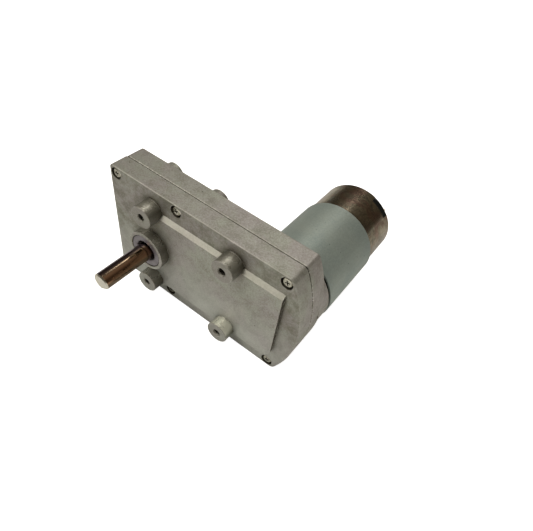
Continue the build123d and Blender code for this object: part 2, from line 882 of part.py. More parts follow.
with BuildPart() as rotor_core:
    with BuildSketch(level(core_back)):
        with Locations(motor_centre):
            add(lamination_outline(0.0))
    extrude(amount=core_back - core_front)
save(rotor_core, "rotor_core")

with BuildPart() as core_insulators:
    for end in (core_front, core_back + insulator_thickness):
        with BuildSketch(level(end)):
            with Locations(motor_centre):
                add(lamination_outline(insulator_inset))
        extrude(amount=insulator_thickness)
save(core_insulators, "core_insulators")

with BuildPart() as windings:
    # each coil is full over the core and draws in at its end turns
    for inset, reach in coil_steps:
        with BuildSketch(level(core_back + reach)):
            with Locations(motor_centre):
                with PolarLocations(0, core_poles, start_angle=90):
                    Polygon(
                        (coil_inner + inset, inset - coil_inner_half),
                        (coil_outer - inset, inset - coil_outer_half),
                        (coil_outer - inset, coil_outer_half - inset),
                        (coil_inner + inset, coil_inner_half - inset),
                        align=None,
                    )
                Circle(pole_tip - 0.1, mode=Mode.INTERSECT)
        extrude(amount=core_back - core_front + 2 * reach)
    with BuildSketch(level(core_back + insulator_thickness)):
        with Locations(motor_centre):
            with PolarLocations(pole_tip / 2, core_poles, start_angle=90):
                Rectangle(2 * pole_tip, pole_width)
    extrude(amount=core_back - core_front + 2 * insulator_thickness, mode=Mode.SUBTRACT)
save(windings, "windings")

rotor_spacer = ring_part(
    motor_centre,
    rotor_spacer_radius,
    rotor_shaft_radius,
    spacer_front,
    core_front - insulator_thickness - pin_end_gap,
    fine_chamfer,
)
save(rotor_spacer, "rotor_spacer")

with BuildPart() as commutator_base:
    with BuildSketch(level(commutator_back)):
        with Locations(motor_centre):
            Circle(commutator_core_radius)
            Circle(rotor_shaft_radius, mode=Mode.SUBTRACT)
    extrude(amount=commutator_back - core_back - insulator_thickness - pin_end_gap)
    with BuildSketch(level(commutator_front)):
        with Locations(motor_centre):
            Circle(commutator_flange_radius)
            Circle(commutator_core_radius - bar_slit, mode=Mode.SUBTRACT)
    extrude(amount=commutator_flange)
save(commutator_base, "commutator_base")

with BuildPart() as commutator_bars:
    with BuildSketch(level(commutator_back)):
        with Locations(motor_centre):
            Circle(commutator_radius)
            Circle(commutator_core_radius, mode=Mode.SUBTRACT)
            with PolarLocations(commutator_radius, core_poles, start_angle=90):
                Rectangle(commutator_radius, bar_slit, mode=Mode.SUBTRACT)
    extrude(amount=commutator_back - commutator_front)
save(commutator_bars, "commutator_bars")

# ---- brush gear and end cap ----
with BuildPart() as carbon_brushes:
    with BuildSketch(level(brush_back)):
        with Locations(motor_centre):
            with GridLocations(1, 2 * commutator_radius + brush_height, 1, 2):
                Rectangle(brush_width, brush_height)
            Circle(commutator_radius + brush_gap, mode=Mode.SUBTRACT)
    extrude(amount=brush_back - brush_front)
save(carbon_brushes, "carbon_brushes")

arm_level = commutator_radius + brush_height
with BuildPart() as brush_arms:
    with BuildSketch(level(brush_back)):
        with Locations((motor_x + (arm_reach - brush_width / 2) / 2, 0)):
            with GridLocations(1, 2 * arm_level + arm_thickness, 1, 2):
                Rectangle(arm_reach + brush_width / 2, arm_thickness)
    extrude(amount=brush_back - brush_front)
save(brush_arms, "brush_arms")

with BuildPart() as terminals:
    with BuildSketch(level(terminal_back)):
        with Locations((motor_x + arm_reach + terminal_thickness / 2, 0)):
            with GridLocations(1, 2 * arm_level + arm_thickness, 1, 2):
                Rectangle(terminal_thickness, terminal_width)
    extrude(amount=terminal_back - brush_front)
    # a hole near the end of each for the lead
    with BuildSketch(Plane.YZ.offset(motor_x + arm_reach)):
        with Locations((terminal_back - lug_hole_inset, 0)):
            with GridLocations(1, 2 * arm_level + arm_thickness, 1, 2):
                Circle(lug_hole_radius)
    extrude(amount=terminal_thickness, mode=Mode.SUBTRACT)
save(terminals, "terminals")

with BuildPart() as end_cap:
    with BuildSketch(level(cap_back)):
        with Locations(motor_centre):
            Circle(can_radius - can_wall - cap_gap)
    extrude(amount=cap_back - cap_front)
    with BuildSketch(level(cap_floor)):
        with Locations(motor_centre):
            Circle(can_radius - can_wall - cap_wall)
    extrude(amount=cap_floor - cap_front, mode=Mode.SUBTRACT)
    with BuildSketch(level(cap_hub_back)):
        with Locations(motor_centre):
            Circle(cap_hub_radius)
    extrude(amount=cap_hub_back - cap_hub_front)
    fillet(end_cap.faces().sort_by(Axis.Y)[-1].edges(), cap_hub_round)
    # keys that fill the can's rim notches
    with BuildSketch(level(can_end - pin_end_gap)):
        with Locations(motor_centre):
            with PolarLocations(can_radius - rim_key_depth / 2, 2, start_angle=rim_notch_angle):
                Rectangle(rim_key_depth, rim_notch_width - 4 * end_play)
            Circle(can_radius - end_play, mode=Mode.INTERSECT)
    extrude(amount=can_end - rim_notch_front - 2 * pin_end_gap)
    # bush bore, and slots for the terminals
    with BuildSketch(level(cap_bore_end)):
        with Locations(motor_centre):
            Circle(rear_motor_bush_radius)
    extrude(amount=cap_bore_end - cap_hub_front, mode=Mode.SUBTRACT)
    with BuildSketch(level(cap_back)):
        with Locations((motor_x + arm_reach + terminal_thickness / 2, 0)):
            with GridLocations(1, 2 * arm_level + arm_thickness, 1, 2):
                Rectangle(terminal_thickness, terminal_width)
    extrude(amount=cap_back - cap_floor, mode=Mode.SUBTRACT)
save(end_cap, "end_cap")

rear_motor_bush = ring_part(
    motor_centre,
    rear_motor_bush_radius,
    rotor_shaft_radius + running_gap,
    rear_motor_bush_front,
    rear_motor_bush_back,
    fine_chamfer,
)
save(rear_motor_bush, "motor_rear_bush")
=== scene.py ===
import json
from math import cos, pi, radians, sin

import bmesh
import bpy
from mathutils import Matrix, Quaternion, Vector


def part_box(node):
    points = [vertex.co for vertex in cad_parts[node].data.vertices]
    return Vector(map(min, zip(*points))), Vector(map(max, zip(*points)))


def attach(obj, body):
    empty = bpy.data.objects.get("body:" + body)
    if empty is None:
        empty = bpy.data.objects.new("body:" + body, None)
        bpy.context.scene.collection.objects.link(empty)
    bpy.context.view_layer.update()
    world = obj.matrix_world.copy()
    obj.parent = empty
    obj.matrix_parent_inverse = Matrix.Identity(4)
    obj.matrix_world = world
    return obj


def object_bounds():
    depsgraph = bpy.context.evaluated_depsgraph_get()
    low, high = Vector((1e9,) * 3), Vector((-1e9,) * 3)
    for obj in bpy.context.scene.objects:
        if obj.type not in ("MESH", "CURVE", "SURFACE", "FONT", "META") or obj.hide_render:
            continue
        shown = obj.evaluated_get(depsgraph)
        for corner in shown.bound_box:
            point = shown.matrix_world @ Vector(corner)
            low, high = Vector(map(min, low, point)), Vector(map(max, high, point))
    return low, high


# The geared motor in its own frame: origin on the output shaft's axis in the plane of the
# mounting faces, +Y back towards the motor, +X along the gearbox, +Z up. Metres.

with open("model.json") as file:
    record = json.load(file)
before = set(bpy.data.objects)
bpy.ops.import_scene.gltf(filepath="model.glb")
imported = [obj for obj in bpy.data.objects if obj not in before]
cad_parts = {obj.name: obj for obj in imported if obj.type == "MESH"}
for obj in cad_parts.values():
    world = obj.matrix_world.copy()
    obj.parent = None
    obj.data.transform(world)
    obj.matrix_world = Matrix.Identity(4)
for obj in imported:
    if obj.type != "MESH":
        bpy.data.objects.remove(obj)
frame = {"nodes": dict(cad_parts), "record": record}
cad_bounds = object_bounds()

MM = 0.001

# Levels of the castings along Y, in metres, and the seam between them.
COVER_FACE = 7.3 * MM
COVER_EDGE = 7.0 * MM
BOSS_FOOT = 6.9 * MM
BOSS_RISE = 6.6 * MM
CASTING_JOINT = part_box("front_cover")[1].y

# The threads in the tapped holes, in millimetres; the ridge's half width is a share of the pitch.
THREAD_PITCH = 0.7
THREAD_HEIGHT = 0.20
THREAD_RUN_IN = 0.75
THREAD_STEPS = 36
RIDGE_HALF_WIDTH = 0.42
WALL_GRIP = 0.03
THIN_END = 0.1
FRONT_THREAD_DEPTH = 7.0
REAR_THREAD_DEPTH = 5.6

# The stage and the lights, in metres, and the camera: place and aim in millimetres, roll in degrees.
FLOOR_HALF_WIDTH = 3.0
FLOOR_GLOW = 0.9
BOX_LIGHT_SIZE = 0.30
CARD_LIGHT_SIZE = 0.07
WARM_WHITE = (1.0, 0.98, 0.93)
SOFT_WHITE = (1.0, 0.98, 0.94)
PAPER_WHITE = (1.0, 1.0, 0.97)
CREAM_WHITE = (1.0, 0.98, 0.95)
SENSOR_WIDTH = 36.0
LENS = 31.3
CAMERA_PLACE = (110.45, -91.02, 151.55)
CAMERA_AIM = (54.12, 12.45, 22.79)
CAMERA_ROLL = 10.8


# ---------------------------------------------------------------- material recipes


class Recipe:
    """Lays nodes into one material; lengths given in millimetres become noise scales."""

    def __init__(self, name):
        self.material = bpy.data.materials.new(name)
        self.material.use_nodes = True
        self.tree = self.material.node_tree
        self.tree.nodes.clear()
        self.point = self.add("ShaderNodeTexCoord").outputs["Object"]
        self.normal = self.add("ShaderNodeNewGeometry").outputs["Normal"]

    def add(self, kind, inputs=None, **settings):
        node = self.tree.nodes.new(kind)
        for key, value in settings.items():
            setattr(node, key, value)
        for key, value in (inputs or {}).items():
            if isinstance(value, bpy.types.NodeSocket):
                self.tree.links.new(value, node.inputs[key])
            else:
                node.inputs[key].default_value = value
        return node

    def stretched(self, x=1.0, y=1.0, z=1.0):
        """The texture point with each axis scaled, to draw a grain out into streaks."""
        mapping = self.add("ShaderNodeMapping", {"Vector": self.point, "Scale": (x, y, z)})
        return mapping.outputs["Vector"]

    def noise(self, size_mm, detail=2.0, roughness=0.5, point=None, distortion=0.0):
        node = self.add(
            "ShaderNodeTexNoise",
            {
                "Vector": point or self.point,
                "Scale": 1000.0 / size_mm,
                "Detail": detail,
                "Roughness": roughness,
                "Distortion": distortion,
            },
        )
        return node.outputs["Fac"]

    def cells(self, size_mm):
        node = self.add("ShaderNodeTexVoronoi", {"Vector": self.point, "Scale": 1000.0 / size_mm})
        return node.outputs["Distance"]

    def span(self, value, low, high, out_low=0.0, out_high=1.0):
        """The value mapped from low..high to out_low..out_high, clamped."""
        node = self.add(
            "ShaderNodeMapRange",
            {
                "Value": value,
                "From Min": low,
                "From Max": high,
                "To Min": out_low,
                "To Max": out_high,
            },
            clamp=True,
        )
        return node.outputs["Result"]

    def calc(self, operation, a, b=0.0):
        return self.add("ShaderNodeMath", {0: a, 1: b}, operation=operation).outputs["Value"]

    def times(self, a, b):
        return self.calc("MULTIPLY", a, b)

    def blend(self, factor, a, b):
        """A colour between a and b."""
        node = self.add("ShaderNodeMix", {"Factor": factor}, data_type="RGBA")
        for key, value in (("A", a), ("B", b)):
            socket = [s for s in node.inputs if s.name == key and s.type == "RGBA"][0]
            if isinstance(value, bpy.types.NodeSocket):
                self.tree.links.new(value, socket)
            else:
                socket.default_value = (*value, 1.0)
        return [s for s in node.outputs if s.type == "RGBA"][0]

    def crevice(self, distance_mm):
        """0 in the open, 1 deep in a corner."""
        node = self.add("ShaderNodeAmbientOcclusion", {"Distance": distance_mm * MM}, samples=6)
        return self.calc("SUBTRACT", 1.0, node.outputs["AO"])

    def edge(self, radius_mm):
        """1 on a sharp edge, 0 on a flat, from the difference that rounding makes to the normal."""
        bevel = self.add("ShaderNodeBevel", {"Radius": radius_mm * MM}, samples=4)
        return self.span(self.dot(bevel.outputs["Normal"], self.normal), 0.995, 0.80)

    def dot(self, a, b):
        node = self.add("ShaderNodeVectorMath", {0: a, 1: b}, operation="DOT_PRODUCT")
        return node.outputs["Value"]

    def place(self, axis):
        """Where the surface lies along X, Y or Z, in metres."""
        return self.add("ShaderNodeSeparateXYZ", {"Vector": self.point}).outputs[axis]

    def depth(self):
        """The depth Y of the surface, in metres."""
        return self.place("Y")

    def facing(self, x, y, z):
        """How far the surface faces a direction, -1 to 1."""
        return self.dot(self.normal, (x, y, z))

    def bump(self, height, depth_mm):
        inputs = {"Height": height, "Distance": depth_mm * MM, "Strength": 1.0}
        return self.add("ShaderNodeBump", inputs).outputs["Normal"]

    def finish(self, color, roughness, metallic, normal=None, **extra):
        inputs = {"Base Color": color, "Roughness": roughness, "Metallic": metallic}
        if normal:
            inputs["Normal"] = normal
        inputs.update({key.replace("_", " "): value for key, value in extra.items()})
        shader = self.add("ShaderNodeBsdfPrincipled", inputs)
        self.add("ShaderNodeOutputMaterial", {"Surface": shader.outputs["BSDF"]})
        return self.material


def cast_zinc():
    """Die-cast gearbox metal: sandy skin, purplish and olive clouds, pits, darker rim-level patches,
    painted shade in corners, holes and on the boss sides, painted highlights and sheen, and edges
    bright with wear and painted highlight.
    """
    m = Recipe("cast_zinc")
    cloud = m.noise(16, 3, 0.55, distortion=0.8)
    patch = m.noise(4.5, 4, 0.6)
    sand = m.noise(0.70, 4, 0.8)
    fine = m.noise(0.30, 2, 0.6)
    pits = m.span(m.cells(3.4), 0.10, 0.04)
    pits = m.times(pits, m.span(m.noise(9, 1), 0.57, 0.60))
    tone = m.blend(m.span(cloud, 0.38, 0.62), (0.352, 0.326, 0.306), (0.340, 0.346, 0.290))
    tone = m.blend(m.span(patch, 0.46, 0.66, 0.0, 0.55), tone, (0.235, 0.225, 0.185))
    tone = m.blend(m.span(sand, 0.50, 0.70, 0.0, 0.55), tone, (0.56, 0.55, 0.50))
    tone = m.blend(m.span(sand, 0.50, 0.32, 0.0, 0.50), tone, (0.17, 0.163, 0.138))
    # Painted highlight: the upper sides of the bosses and collar in front of the cover face, and the
    # sloped upper wall of the plateau, made lighter and smoother.
    in_front = m.span(m.depth(), 7.2 * MM, 6.6 * MM)
    painted_highlight = m.times(in_front, m.span(m.facing(0.15, 0, 0.99), 0.60, 0.98))
    slope_highlight = m.span(m.facing(0, -0.64, 0.77), 0.965, 0.995)
    painted_highlight = m.calc("MAXIMUM", painted_highlight, m.times(slope_highlight, 0.45))
    # Painted shade in the corners round the bosses, the collar and the plateau, joined by darker
    # patches on the rim-level front face, and lessened under the painted highlights.
    painted_shade_and_dark_field = m.span(m.crevice(7.0), 0.08, 0.42, 0.0, 0.90)
    front = m.span(m.facing(0, -1, 0), 0.85, 0.95)
    low_field = m.times(m.span(m.depth(), COVER_EDGE, COVER_FACE), front)
    low_field = m.times(low_field, m.span(patch, 0.35, 0.60, 0.16, 0.38))
    painted_shade_and_dark_field = m.calc("MAXIMUM", painted_shade_and_dark_field, low_field)
    painted_shade_and_dark_field = m.times(painted_shade_and_dark_field, m.calc("SUBTRACT", 1.0, m.times(painted_highlight, 0.85)))
    # Olive-brown painted shade and darker rim-level patches.
    tone = m.blend(painted_shade_and_dark_field, tone, (0.085, 0.074, 0.044))
    # Pale painted highlight.
    tone = m.blend(m.times(painted_highlight, 0.75), tone, (0.78, 0.76, 0.65))
    # Painted shade on the side walls of the bosses and collar, standing for the dark room reflected in
    # them; it fades out on the lower-right boss.
    sideways = m.span(m.facing(0, -1, 0), 0.35, 0.15)
    boss_side = m.times(m.span(m.depth(), BOSS_FOOT, BOSS_RISE), sideways)
    low_down = m.span(m.place("Z"), -8 * MM, -14 * MM)
    lower_right = m.times(m.span(m.place("X"), 24 * MM, 34 * MM), low_down)
    boss_side_shade = m.times(boss_side, m.span(lower_right, 0.0, 1.0, 0.62, 0.0))
    tone = m.blend(boss_side_shade, tone, (0.105, 0.098, 0.075))
    # Painted highlight on the top of the lower-right boss.
    boss_highlight = m.times(lower_right, m.span(m.facing(0.15, 0, 0.99), 0.35, 0.9))
    boss_highlight = m.times(boss_side, boss_highlight)
    tone = m.blend(boss_highlight, tone, (0.80, 0.80, 0.68))
    # Painted sheen: the front faces lightened towards the bottom, as if lit by light bounced from the
    # floor, in clouds.
    pale = m.times(front, m.span(m.place("Z"), 4 * MM, -16 * MM, 0.0, 0.36))
    pale = m.times(pale, m.span(cloud, 0.35, 0.62, 0.55, 1.0))
    tone = m.blend(pale, tone, (0.70, 0.72, 0.68))
    machined = m.times(m.span(m.depth(), 0.5 * MM, 0.2 * MM), m.facing(0, -1, 0))
    tone = m.blend(m.times(machined, 0.5), tone, (0.19, 0.18, 0.15))
    # Painted shade, near black, in narrow grooves and in the tapped holes.
    tone = m.blend(m.span(m.crevice(0.9), 0.36, 0.72), tone, (0.012, 0.011, 0.008))
    tone = m.blend(m.span(m.crevice(4.0), 0.58, 0.80), tone, (0.014, 0.012, 0.008))
    joint = m.calc("ABSOLUTE", m.calc("SUBTRACT", m.depth(), CASTING_JOINT))
    beside_joint = m.span(joint, 0.60 * MM, 0.42 * MM)
    glint = m.times(beside_joint, m.span(m.noise(1.1, 2), 0.54, 0.64))
    tone = m.blend(m.times(glint, 0.7), tone, (0.84, 0.83, 0.76))
    tone = m.blend(m.span(joint, 0.26 * MM, 0.12 * MM), tone, (0.012, 0.011, 0.009))
    tone = m.blend(pits, tone, (0.025, 0.023, 0.016))
    # Bright edges: edge wear and painted highlight along the rounded edges.
    edge = m.times(m.edge(0.30), m.span(m.noise(1.4, 2), 0.36, 0.58))
    tone = m.blend(m.times(edge, 0.85), tone, (0.86, 0.84, 0.76))
    height = m.calc("ADD", sand, m.times(fine, 0.5))
    height = m.calc("SUBTRACT", height, m.times(pits, 2.5))
    normal = m.bump(height, 0.11)
    rough = m.span(patch, 0.3, 0.7, 0.40, 0.52)
    rough = m.calc("SUBTRACT", rough, m.times(painted_highlight, 0.08))
    rough = m.calc("SUBTRACT", rough, m.times(boss_side, 0.12))
    return m.finish(tone, rough, 0.55, normal)


def turned_steel(name, base, dark, rough, streak_mm=0.25, depth=0.01):
    """Turned or ground steel with fine rings round the Y axis and a worn oily film."""
    m = Recipe(name)
    rings = m.noise(streak_mm, 2, 0.6, point=m.stretched(0.05, 1.0, 0.05))
    film = m.noise(3.0, 3, 0.6, point=m.stretched(1.0, 0.4, 1.0))
    tone = m.blend(m.span(film, 0.35, 0.68), base, dark)
    tone = m.blend(m.span(rings, 0.3, 0.7, 0.0, 0.20), tone, tuple(c * 1.5 for c in base))
    tone = m.blend(m.times(m.edge(0.2), 0.5), tone, (0.85, 0.83, 0.78))
    # Painted shade in corners.
    tone = m.blend(m.span(m.crevice(1.6), 0.25, 0.9), tone, (0.03, 0.02, 0.018))
    return m.finish(tone, m.span(film, 0.3, 0.7, rough, rough + 0.12), 1.0, m.bump(rings, depth))


def shaft_steel():
    """Ground shaft, tinted brown, with painted reflection bands along its sides, brown up and to the
    right and dark purple up and to the left, bare and bright on its end.
    """
    m = Recipe("ground_steel")
    rings = m.noise(0.22, 2, 0.6, point=m.stretched(0.05, 1.0, 0.05))
    film = m.noise(2.6, 3, 0.65, point=m.stretched(1.0, 0.30, 1.0))
    tone = m.blend(m.span(film, 0.40, 0.62), (0.23, 0.165, 0.105), (0.165, 0.12, 0.08))
    # Painted reflection bands: brown on the side facing up and to the right, dark purple on the side
    # facing up and to the left.
    brown = m.span(m.facing(0.70, 0, 0.71), 0.85, 0.95)
    brown = m.times(brown, m.span(film, 0.30, 0.50, 0.6, 1.0))
    tone = m.blend(brown, tone, (0.36, 0.20, 0.12))
    tone = m.blend(m.span(m.facing(-0.55, 0, 0.84), 0.72, 0.93), tone, (0.14, 0.105, 0.13))
    tone = m.blend(m.span(rings, 0.40, 0.7, 0.0, 0.18), tone, (0.36, 0.29, 0.20))
    end = m.span(m.facing(0, -1, 0), 0.55, 0.75)
    tone = m.blend(end, tone, (0.72, 0.69, 0.60))
    # Painted highlight along the edges of the tip.
    tone = m.blend(m.times(m.edge(0.25), 0.6), tone, (0.92, 0.86, 0.74))
    # Painted shade where the shaft goes into the bush.
    tone = m.blend(m.span(m.crevice(1.8), 0.20, 0.8), tone, (0.02, 0.012, 0.014))
    rough = m.calc("ADD", m.span(film, 0.3, 0.7, 0.06, 0.12), m.times(end, 0.25))
    return m.finish(tone, rough, 1.0, m.bump(rings, 0.003))


def shaded_thread():
    """Threads cut in the castings: painted dark for the shade deep in the tapped holes, with painted
    highlights along their crests.
    """
    m = Recipe("shaded_thread")
    film = m.noise(0.8, 3, 0.6)
    # Painted shade: the threads are dark as the inside of a hole.
    tone = m.blend(m.span(film, 0.35, 0.65), (0.075, 0.068, 0.050), (0.035, 0.030, 0.022))
    # Painted highlight along the crests.
    tone = m.blend(m.times(m.edge(0.12), 0.9), tone, (0.80, 0.78, 0.68))
    return m.finish(tone, m.span(film, 0.3, 0.7, 0.22, 0.34), 0.9)


def zinc_plate():
    """Matte zinc plate on rolled strip: bluish grey, faint rolling streaks and small specks."""
    m = Recipe("zinc_plate")
    cloud = m.noise(12, 3, 0.5, distortion=0.4)
    grain = m.noise(0.7, 3, 0.7)
    streak = m.noise(0.8, 2, 0.5, point=m.stretched(1.0, 0.08, 1.0))
    specks = m.times(m.span(m.cells(2.4), 0.12, 0.05), m.span(m.noise(6, 1), 0.54, 0.58))
    tone = m.blend(m.span(cloud, 0.3, 0.7), (0.265, 0.315, 0.290), (0.325, 0.368, 0.328))
    tone = m.blend(m.span(grain, 0.45, 0.75, 0.0, 0.35), tone, (0.50, 0.54, 0.50))
    tone = m.blend(m.span(grain, 0.50, 0.25, 0.0, 0.30), tone, (0.20, 0.23, 0.205))
    tone = m.blend(m.span(streak, 0.45, 0.75, 0.0, 0.2), tone, (0.24, 0.27, 0.245))
    tone = m.blend(m.times(specks, 0.85), tone, (0.05, 0.055, 0.045))
    tone = m.blend(m.times(m.edge(0.15), 0.5), tone, (0.62, 0.64, 0.60))
    height = m.calc("ADD", m.times(grain, 0.8), streak)
    return m.finish(tone, m.span(grain, 0.2, 0.8, 0.48, 0.58), 0.4, m.bump(height, 0.016))


def nickel_can():
    """Nickel plate on drawn steel, tarnished brown, reddish and olive in mottled patches."""
    m = Recipe("nickel_can")
    cloud = m.noise(7, 5, 0.7, distortion=1.2)
    hue = m.noise(8, 3, 0.6, distortion=0.6)
    drawn = m.noise(0.5, 2, 0.6, point=m.stretched(1.0, 0.06, 1.0))
    freckles = m.noise(1.3, 4, 0.7)
    tone = m.blend(m.span(cloud, 0.42, 0.58), (0.44, 0.385, 0.285), (0.25, 0.225, 0.165))
    tone = m.blend(m.span(hue, 0.48, 0.60, 0.0, 0.8), tone, (0.33, 0.215, 0.165))
    tone = m.blend(m.span(freckles, 0.50, 0.64, 0.0, 0.50), tone, (0.12, 0.095, 0.07))
    tone = m.blend(m.span(freckles, 0.45, 0.32, 0.0, 0.35), tone, (0.58, 0.50, 0.36))
    tone = m.blend(m.span(drawn, 0.45, 0.7, 0.0, 0.15), tone, (0.50, 0.44, 0.34))
    tone = m.blend(m.times(m.edge(0.25), 0.4), tone, (0.70, 0.66, 0.58))
    # Painted shade in corners, such as the gap under the flux ring.
    tone = m.blend(m.span(m.crevice(1.2), 0.35, 0.85), tone, (0.01, 0.009, 0.007))
    height = m.calc("ADD", drawn, m.times(freckles, 1.5))
    return m.finish(tone, m.span(cloud, 0.3, 0.7, 0.15, 0.28), 1.0, m.bump(height, 0.012))


def sintered(name, light, dark):
    """Oil-soaked sintered metal: fine open pores in a soft sheen, and painted shade in the narrow
    grooves at its rim.
    """
    m = Recipe(name)
    pores = m.noise(0.20, 3, 0.7)
    cloud = m.noise(2.5, 2)
    tone = m.blend(m.span(cloud, 0.35, 0.65), light, dark)
    tone = m.blend(m.span(pores, 0.35, 0.6, 0.35, 0.0), tone, (0.06, 0.05, 0.05))
    # Painted shade in the narrow grooves.
    tone = m.blend(m.span(m.crevice(0.8), 0.30, 0.60), tone, (0.012, 0.010, 0.010))
    return m.finish(tone, m.span(pores, 0.3, 0.7, 0.36, 0.48), 0.7, m.bump(pores, 0.02))


def plated_screw():
    """Zinc-plated screw heads with scuffs on their domes, painted shade in the recess and the cross,
    and painted glints on their edges.
    """
    m = Recipe("screw_steel")
    scuff = m.noise(0.9, 3, 0.65)
    tone = m.blend(m.span(scuff, 0.40, 0.60), (0.60, 0.58, 0.48), (0.30, 0.29, 0.235))
    # Painted shade in the recess round the head and in the cross.
    tone = m.blend(m.span(m.crevice(0.9), 0.30, 0.75, 0.0, 0.92), tone, (0.02, 0.019, 0.014))
    # Painted glints along the edges.
    tone = m.blend(m.times(m.edge(0.15), 0.7), tone, (0.92, 0.90, 0.80))
    return m.finish(tone, m.span(scuff, 0.3, 0.7, 0.14, 0.28), 1.0, m.bump(scuff, 0.07))


def moulded_plastic(name, base, sheen=0.45):
    """Moulded resin with a fine spark-eroded texture."""
    m = Recipe(name)
    grain = m.noise(0.25, 3, 0.6)
    cloud = m.noise(6, 2)
    lighter = tuple(min(1.0, c * 1.6 + 0.004) for c in base)
    tone = m.blend(m.span(cloud, 0.35, 0.65, 0.0, 0.5), base, lighter)
    tone = m.blend(m.times(m.edge(0.2), 0.25), tone, tuple(c + 0.05 for c in base))
    rough = m.span(grain, 0.3, 0.7, sheen, sheen + 0.15)
    return m.finish(tone, rough, 0.0, m.bump(grain, 0.02), Specular_IOR_Level=0.12)


def sheet_metal(name, light, dark, rough=0.3):
    """Stamped strip: rolling lines along Y, clouded tone and bright sheared edges."""
    m = Recipe(name)
    rolling = m.noise(0.3, 2, 0.6, point=m.stretched(1.0, 0.06, 1.0))
    cloud = m.noise(3, 3, 0.6)
    tone = m.blend(m.span(cloud, 0.35, 0.65), light, dark)
    streaked = tuple(min(1.0, c * 1.4) for c in light)
    sheared = tuple(min(1.0, c * 1.7) for c in light)
    tone = m.blend(m.span(rolling, 0.4, 0.7, 0.0, 0.2), tone, streaked)
    tone = m.blend(m.times(m.edge(0.1), 0.5), tone, sheared)
    roughness = m.span(cloud, 0.3, 0.7, rough, rough + 0.12)
    return m.finish(tone, roughness, 0.95, m.bump(rolling, 0.008))


def laminated_steel():
    """Stacked laminations: half-millimetre sheets with dark joints along the shaft."""
    m = Recipe("core_steel")
    wave = {"Vector": m.point, "Scale": 320.0, "Distortion": 0.0}
    sheets = m.add("ShaderNodeTexWave", wave, bands_direction="Y")
    cloud = m.noise(3, 3)
    tone = m.blend(m.span(cloud, 0.35, 0.65), (0.20, 0.20, 0.21), (0.28, 0.28, 0.29))
    tone = m.blend(m.span(sheets.outputs["Fac"], 0.25, 0.0), tone, (0.04, 0.04, 0.045))
    return m.finish(tone, 0.42, 0.8, m.bump(sheets.outputs["Fac"], 0.03))


def pressed_block(name, light, dark, rough):
    """Pressed ceramic or carbon: dense, dull and slightly speckled."""
    m = Recipe(name)
    grain = m.noise(0.3, 4, 0.7)
    tone = m.blend(m.span(grain, 0.3, 0.7), dark, light)
    return m.finish(tone, m.span(grain, 0.3, 0.7, rough, rough + 0.15), 0.1, m.bump(grain, 0.02))


def enamelled_wire():
    """Fine enamelled copper wire wound round the poles."""
    m = Recipe("copper_wire")
    wave = {"Vector": m.point, "Scale": 900.0, "Distortion": 1.5, "Detail": 2.0}
    wraps = m.add("ShaderNodeTexWave", wave)
    cloud = m.noise(1.5, 3)
    tone = m.blend(m.span(cloud, 0.35, 0.65), (0.42, 0.12, 0.04), (0.56, 0.20, 0.07))
    tone = m.blend(m.span(wraps.outputs["Fac"], 0.3, 0.0), tone, (0.10, 0.025, 0.01))
    return m.finish(tone, 0.28, 0.8, m.bump(wraps.outputs["Fac"], 0.06))


MATERIALS = {
    "cast_zinc": cast_zinc(),
    "ground_steel": shaft_steel(),
    "thread": shaded_thread(),
    "gear_steel": turned_steel("gear_steel", (0.42, 0.42, 0.43), (0.28, 0.27, 0.26), 0.30, 0.5, 0.02),
    "zinc_plate": zinc_plate(),
    "nickel_steel": nickel_can(),
    "sintered_iron": sintered("sintered_iron", (0.30, 0.28, 0.30), (0.23, 0.21, 0.225)),
    "sintered_bronze": sintered("sintered_bronze", (0.42, 0.27, 0.13), (0.33, 0.20, 0.09)),
    "screw_steel": plated_screw(),
    "spring_steel": sheet_metal("spring_steel", (0.36, 0.36, 0.36), (0.26, 0.26, 0.27)),
    "terminal_brass": sheet_metal("terminal_brass", (0.62, 0.46, 0.20), (0.48, 0.35, 0.15)),
    "commutator_copper": sheet_metal("commutator_copper", (0.60, 0.27, 0.14), (0.46, 0.20, 0.10)),
    "black_plastic": moulded_plastic("black_plastic", (0.006, 0.006, 0.0055)),
    "insulation": moulded_plastic("insulation", (0.20, 0.035, 0.018), 0.35),
    "core_steel": laminated_steel(),
    "ferrite": pressed_block("ferrite", (0.07, 0.07, 0.075), (0.03, 0.03, 0.033), 0.5),
    "carbon": pressed_block("carbon", (0.05, 0.05, 0.05), (0.02, 0.02, 0.02), 0.4),
    "copper_wire": enamelled_wire(),
}


def dress_nodes():
    """Each CAD node takes the recipe of its record slot."""
    slots = {row["node"]: row["material_slot"] for row in frame["record"]["subparts"]}
    for name, node in frame["nodes"].items():
        node.data.materials.clear()
        node.data.materials.append(MATERIALS[slots[name]])


dress_nodes()

# ---------------------------------------------------------------- pieces made here


def new_piece(name, mesh_data, body, material):
    """A mesh object that rides on a body and takes the given material."""
    mesh = bpy.data.meshes.new(name)
    mesh_data.to_mesh(mesh)
    mesh_data.free()
    mesh.polygons.foreach_set("use_smooth", [True] * len(mesh.polygons))
    mesh.materials.append(material)
    piece = bpy.data.objects.new(name, mesh)
    bpy.context.scene.collection.objects.link(piece)
    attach(piece, body)


def sweep_closed_section(mesh_data, rings):
    """Skin a row of equal rings of points, capped at both ends."""
    rows = [[mesh_data.verts.new(point) for point in ring] for ring in rings]
    count = len(rows[0])
    for row, following in zip(rows, rows[1:]):
        for i in range(count):
            j = (i + 1) % count
            mesh_data.faces.new((row[i], row[j], following[j], following[i]))
    mesh_data.faces.new(list(reversed(rows[0])))
    mesh_data.faces.new(rows[-1])


